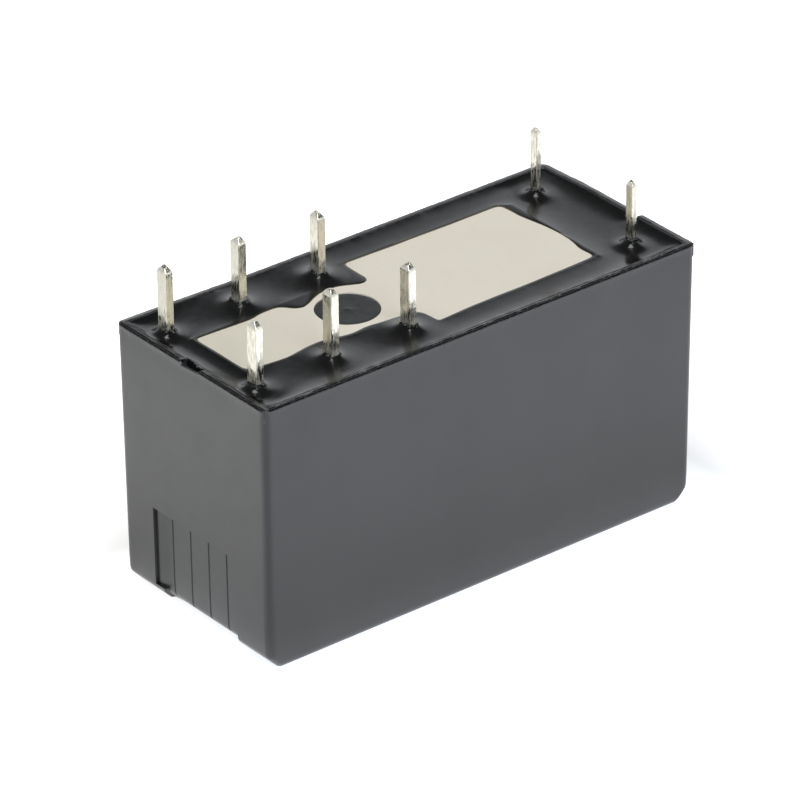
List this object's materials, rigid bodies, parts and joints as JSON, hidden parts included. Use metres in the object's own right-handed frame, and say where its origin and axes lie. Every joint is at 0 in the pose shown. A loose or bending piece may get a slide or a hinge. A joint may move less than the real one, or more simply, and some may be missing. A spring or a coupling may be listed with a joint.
{
  "type": "power relay",
  "caption": "Sealed miniature printed-circuit power relay with changeover contacts: dark moulded cover, resin-sealed base and flat tinned pins.",
  "frame": {"origin": "centre of the cover's closed outer face, which the relay stands on in the picture", "axes": "+Z from the closed face towards the pins; +X along the case towards the two coil pins; Y across the two rows of pins"},
  "size_m": [0.029, 0.0128, 0.0194],
  "materials": {
    "cover_plastic": "semi-gloss moulded",
    "base_plastic": "moulded",
    "resin": "cast glossy resin",
    "plug_resin": "satin",
    "tinned_pin": "tinned copper alloy",
    "contact_silver": "silver alloy",
    "spring_bronze": "rolled bronze strip",
    "bobbin_plastic": "moulded",
    "enamelled_wire": "enamelled copper",
    "coil_tape": "polyester film",
    "soft_iron": "plated soft iron",
    "spring_steel": "rolled",
    "card_plastic": "moulded"
  },
  "bodies": {
    "housing": {"cover": "cover_plastic", "base": "base_plastic", "epoxy_seal": "resin", "vent_plug": "plug_resin", "pole_barrier": "base_plastic", "common_terminal_1": "tinned_pin", "common_terminal_2": "tinned_pin", "nc_terminal_1": "tinned_pin", "nc_terminal_2": "tinned_pin", "no_terminal_1": "tinned_pin", "no_terminal_2": "tinned_pin", "coil_terminal_1": "tinned_pin", "coil_terminal_2": "tinned_pin", "nc_contact_1": "contact_silver", "nc_contact_2": "contact_silver", "no_contact_1": "contact_silver", "no_contact_2": "contact_silver", "bobbin": "bobbin_plastic", "winding": "enamelled_wire", "winding_tape": "coil_tape", "core": "soft_iron", "yoke": "soft_iron", "armature_spring": "spring_steel", "lead_wire_1": "enamelled_wire", "lead_wire_2": "enamelled_wire"},
    "armature": {"armature": "soft_iron"},
    "card": {"actuator_card": "card_plastic"},
    "blade_1": {"contact_spring_1": "spring_bronze", "moving_contact_1": "contact_silver"},
    "blade_2": {"contact_spring_2": "spring_bronze", "moving_contact_2": "contact_silver"}
  },
  "joints": [
    {"name": "armature_hinge", "type": "hinge", "parent": "housing", "child": "armature", "pos_m": [-0.00034, 0, 0.0117], "axis": [0, -1, 0], "range_deg": [0, 3.7], "stiffness_Nm_per_rad": 0.004, "springref_deg": -11.46},
    {"name": "card_hinge", "type": "hinge", "parent": "armature", "child": "card", "pos_m": [-0.00101, 0, 0.00137], "axis": [0, -1, 0], "range_deg": [-3.7, 0]},
    {"name": "blade_1_hinge", "type": "hinge", "parent": "housing", "child": "blade_1", "pos_m": [-0.00847, -0.00375, 0.0117], "axis": [0, -1, 0], "range_deg": [0, 3.7]},
    {"name": "blade_2_hinge", "type": "hinge", "parent": "housing", "child": "blade_2", "pos_m": [-0.00847, 0.00375, 0.0117], "axis": [0, -1, 0], "range_deg": [0, 3.7]}
  ],
  "couplings": [
    {"joint": "card_hinge", "follows": "armature_hinge", "ratio": -1},
    {"joint": "blade_1_hinge", "follows": "armature_hinge", "ratio": 1},
    {"joint": "blade_2_hinge", "follows": "armature_hinge", "ratio": 1}
  ]
}
